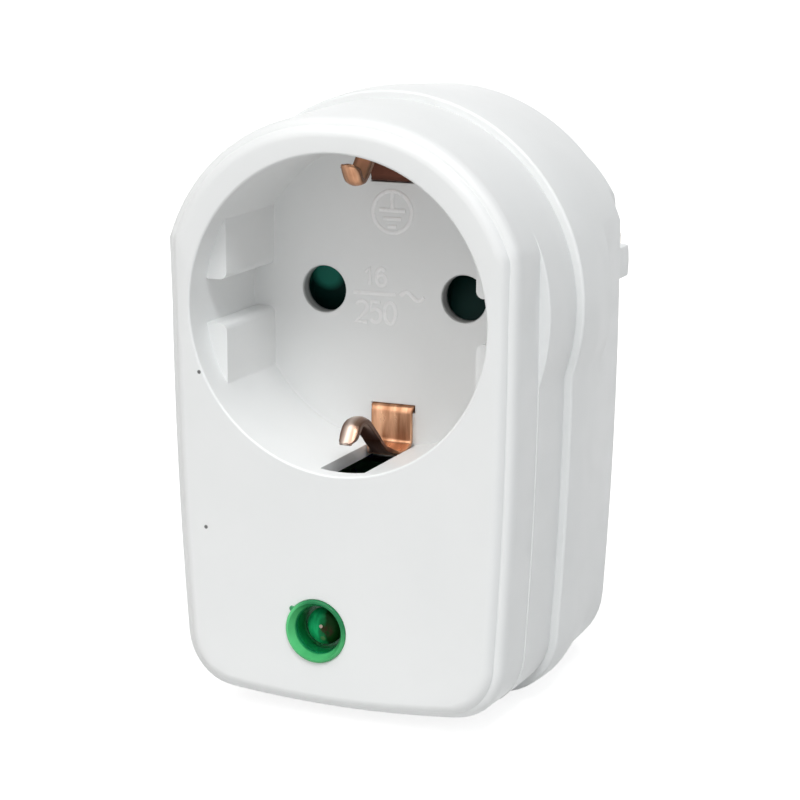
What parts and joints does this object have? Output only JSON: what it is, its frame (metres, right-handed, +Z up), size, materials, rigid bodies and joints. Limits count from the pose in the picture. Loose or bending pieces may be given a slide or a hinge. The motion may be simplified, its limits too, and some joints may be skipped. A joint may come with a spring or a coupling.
{
  "type": "surge protection adapter",
  "caption": "Plug-in surge protection adapter: a round grounded socket with shutters and guide blocks on its face, a grounded plug behind and a green indicator window.",
  "frame": {"origin": "on the common axis of the plug and the socket, in the plane of the rear face that lies against the wall", "axes": "+Z up along the adapter's height, +Y out of the rear face along the plug and its pins, the socket's face looks along -Y, +X to the right seen from the front"},
  "size_m": [0.0514, 0.0744, 0.0769],
  "materials": {
    "casing": "white moulded plastic with a soft gloss",
    "shutter": "dark green moulded plastic",
    "steel": "zinc plated",
    "carrier": "heat resistant moulded plastic",
    "contact_brass": "bare stamped and turned brass",
    "pin_plating": "nickel plated brass",
    "earth_bronze": "copper coloured spring bronze",
    "board": "green solder mask",
    "varistor_coating": "blue dipped coating",
    "tube_ceramic": "unglazed white ceramic",
    "fuse_case": "beige ceramic case",
    "resistor_coating": "pale blue coating",
    "lamp_glass": "clear glass bulb",
    "green_window": "green tinted clear plastic",
    "brown_insulation": "brown insulation",
    "blue_insulation": "blue insulation",
    "green_yellow_insulation": "green and yellow insulation"
  },
  "bodies": {
    "housing": {"front_shell": "casing", "rear_shell": "casing", "shutter_spring": "steel", "contact_carrier": "carrier", "carrier_screws": "steel", "line_contact": "contact_brass", "neutral_contact": "contact_brass", "line_pin": "pin_plating", "neutral_pin": "pin_plating", "socket_earth_strap": "earth_bronze", "plug_earth_strap": "pin_plating", "earth_rivet": "contact_brass", "circuit_board": "board", "line_varistor": "varistor_coating", "neutral_varistor": "varistor_coating", "earth_varistor": "varistor_coating", "gas_tube": "tube_ceramic", "thermal_fuse": "fuse_case", "lamp_resistor": "resistor_coating", "neon_lamp": "lamp_glass", "indicator_lens": "green_window", "line_wire": "brown_insulation", "neutral_wire": "blue_insulation", "earth_wire": "green_yellow_insulation", "housing_screws": "steel"},
    "shutter": {"shutter": "shutter"}
  },
  "joints": [
    {"name": "shutter_turn", "type": "hinge", "parent": "housing", "child": "shutter", "pos_m": [0, 0, 0], "axis": [0, 1, 0], "range_deg": [0, 38], "stiffness_Nm_per_rad": 0.004, "springref_deg": -20.05, "deforming": ["shutter_spring"]}
  ]
}
